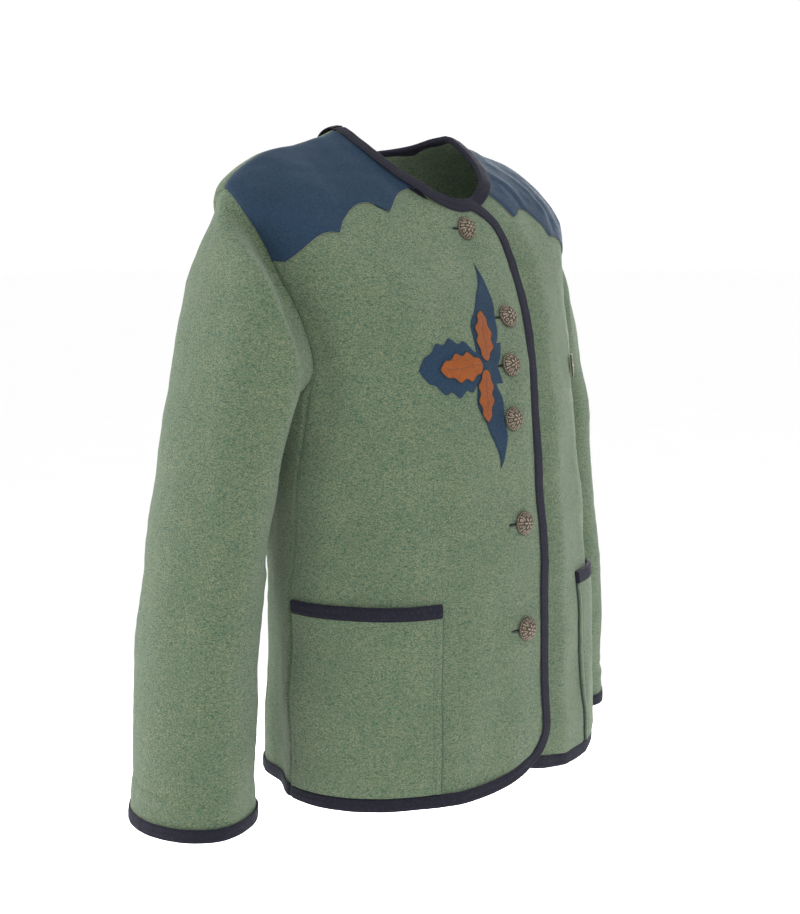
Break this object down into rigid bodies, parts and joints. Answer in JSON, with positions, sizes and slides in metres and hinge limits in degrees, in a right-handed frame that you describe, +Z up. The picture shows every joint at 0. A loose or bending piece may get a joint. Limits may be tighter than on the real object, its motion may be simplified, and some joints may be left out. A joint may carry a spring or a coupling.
{
  "type": "tyrolean loden jacket",
  "caption": "Collarless loden jacket worn closed, hollow, with bound edges, scalloped shoulder yokes, patch pockets, a leaf motif and domed metal buttons.",
  "frame": {"origin": "middle of the neck, level with the two side neck points, where the wearer's shoulders hold the jacket", "axes": "+X to the wearer's left, -Y to the front, +Z up"},
  "size_m": [0.6636, 0.3009, 0.6629],
  "materials": {
    "green_loden": "felted wool with a short nap, heathered green",
    "blue_felt": "smooth felted wool, matt blue",
    "rust_felt": "smooth felted wool, rust orange",
    "navy_tape": "folded wool braid, near black navy",
    "old_silver": "antiqued cast metal with dark recesses"
  },
  "bodies": {
    "root": {"back": "green_loden", "side_right": "green_loden", "front_right": "green_loden", "binding_front_right": "navy_tape", "yoke_right": "blue_felt", "pocket_right": "green_loden", "pocket_binding_right": "navy_tape", "side_left": "green_loden", "front_left": "green_loden", "binding_front_left": "navy_tape", "yoke_left": "blue_felt", "pocket_left": "green_loden", "pocket_binding_left": "navy_tape", "sleeve_right": "green_loden", "binding_cuff_right": "navy_tape", "sleeve_left": "green_loden", "binding_cuff_left": "navy_tape", "binding_hem_back": "navy_tape", "binding_neck_back": "navy_tape", "motif_ground": "blue_felt", "motif_leaf_up": "rust_felt", "motif_leaf_side": "rust_felt", "motif_leaf_down": "rust_felt", "button_1": "old_silver", "button_2": "old_silver", "button_3": "old_silver", "button_4": "old_silver", "button_5": "old_silver", "button_6": "old_silver", "chest_ornament": "old_silver"}
  },
  "joints": []
}
